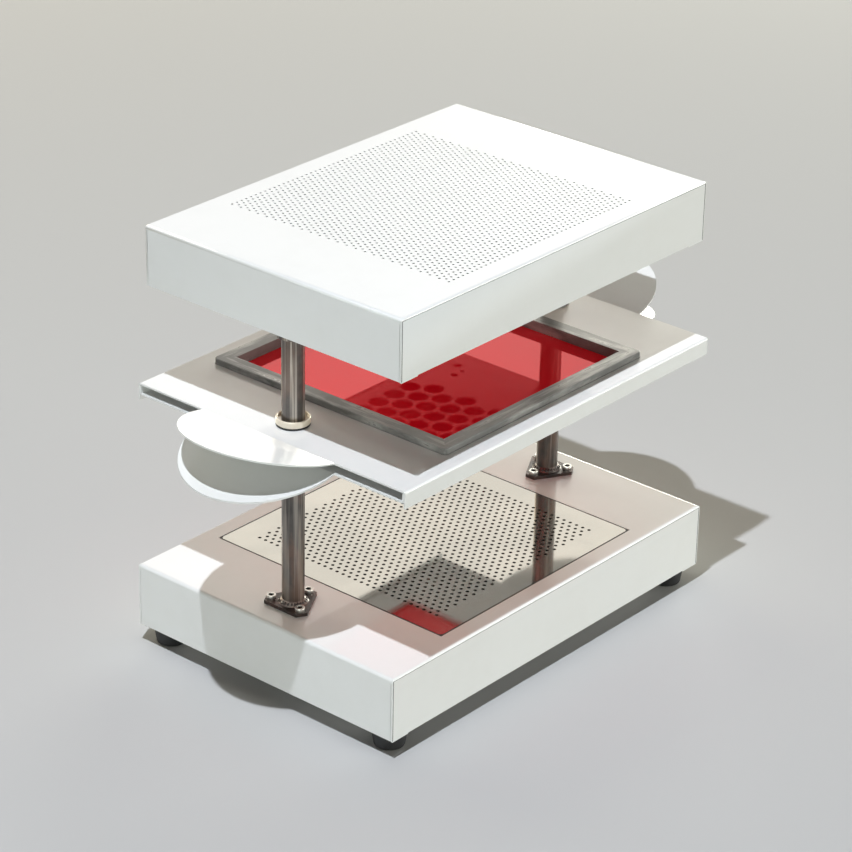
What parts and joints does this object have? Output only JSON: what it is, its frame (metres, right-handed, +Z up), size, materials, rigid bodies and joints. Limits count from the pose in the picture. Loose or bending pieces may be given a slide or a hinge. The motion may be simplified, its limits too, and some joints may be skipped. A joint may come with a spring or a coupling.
{
  "type": "vacuum forming machine",
  "caption": "Desktop vacuum forming machine with a perforated platen in its base, a carriage that slides on round posts and clamps a red plastic sheet, and a heater box on top.",
  "frame": {"origin": "on the table, under the middle of the machine", "axes": "+Z up, X from post to post, +Y to the back where the hose socket and the power inlet are"},
  "size_m": [0.538, 0.292, 0.3825],
  "materials": {
    "white_paint": "powder coat, satin",
    "platen_steel": "satin",
    "tray_steel": "satin",
    "post_steel": "dark rolled skin, satin",
    "zinc": "zinc plated",
    "bronze": "satin",
    "black_ring": "matte",
    "black_rubber": "matte",
    "silicone": "matte",
    "clamp_metal": "satin",
    "red_plastic": "gloss",
    "black_plastic": "satin",
    "ceramic": "matte",
    "quartz": "frosted",
    "reflector_metal": "polished",
    "pin_brass": "satin"
  },
  "bodies": {
    "stand": {"base_floor": "white_paint", "base_shell": "white_paint", "feet": "black_rubber", "foot_nuts": "zinc", "foot_screws": "zinc", "head_backings": "tray_steel", "head_screws": "zinc", "heater_floor": "white_paint", "heater_shell": "white_paint", "heating_tube_1": "quartz", "heating_tube_2": "quartz", "heating_tube_3": "quartz", "heating_tube_4": "quartz", "inlet_pins": "pin_brass", "platen": "platen_steel", "platen_seal": "black_rubber", "platen_supports": "tray_steel", "post_backings": "tray_steel", "post_heads": "post_steel", "post_left": "post_steel", "post_right": "post_steel", "post_screws": "zinc", "power_inlet": "black_plastic", "reflector": "reflector_metal", "switch_body": "black_plastic", "terminal_block": "ceramic", "tube_holders": "ceramic", "vacuum_port": "black_plastic", "vacuum_tray": "tray_steel"},
    "carriage": {"bush_nuts": "zinc", "bush_seats": "black_ring", "bushes": "bronze", "carriage_bottom": "white_paint", "carriage_top": "white_paint", "sheet_gasket": "silicone"},
    "clamp_frame": {"clamp_frame": "clamp_metal"},
    "plastic_sheet": {"plastic_sheet": "red_plastic"},
    "switch_rocker": {"switch_rocker": "black_plastic"}
  },
  "joints": [
    {"name": "carriage_slide", "type": "slide", "parent": "stand", "child": "carriage", "axis": [0, 0, 1], "range_m": [-0.153, 0.0705]},
    {"name": "frame_lift", "type": "slide", "parent": "carriage", "child": "clamp_frame", "axis": [0, 0, 1], "range_m": [0, 0.0095]},
    {"name": "sheet_lift", "type": "slide", "parent": "carriage", "child": "plastic_sheet", "axis": [0, 0, 1], "range_m": [0, 0.0057]},
    {"name": "switch_rock", "type": "hinge", "parent": "stand", "child": "switch_rocker", "pos_m": [0.118, 0.134, 0.356], "axis": [1, 0, 0], "range_deg": [0, 14]}
  ],
  "couplings": [
    {"joint": "sheet_lift", "follows": "frame_lift", "ratio": 0.6}
  ]
}
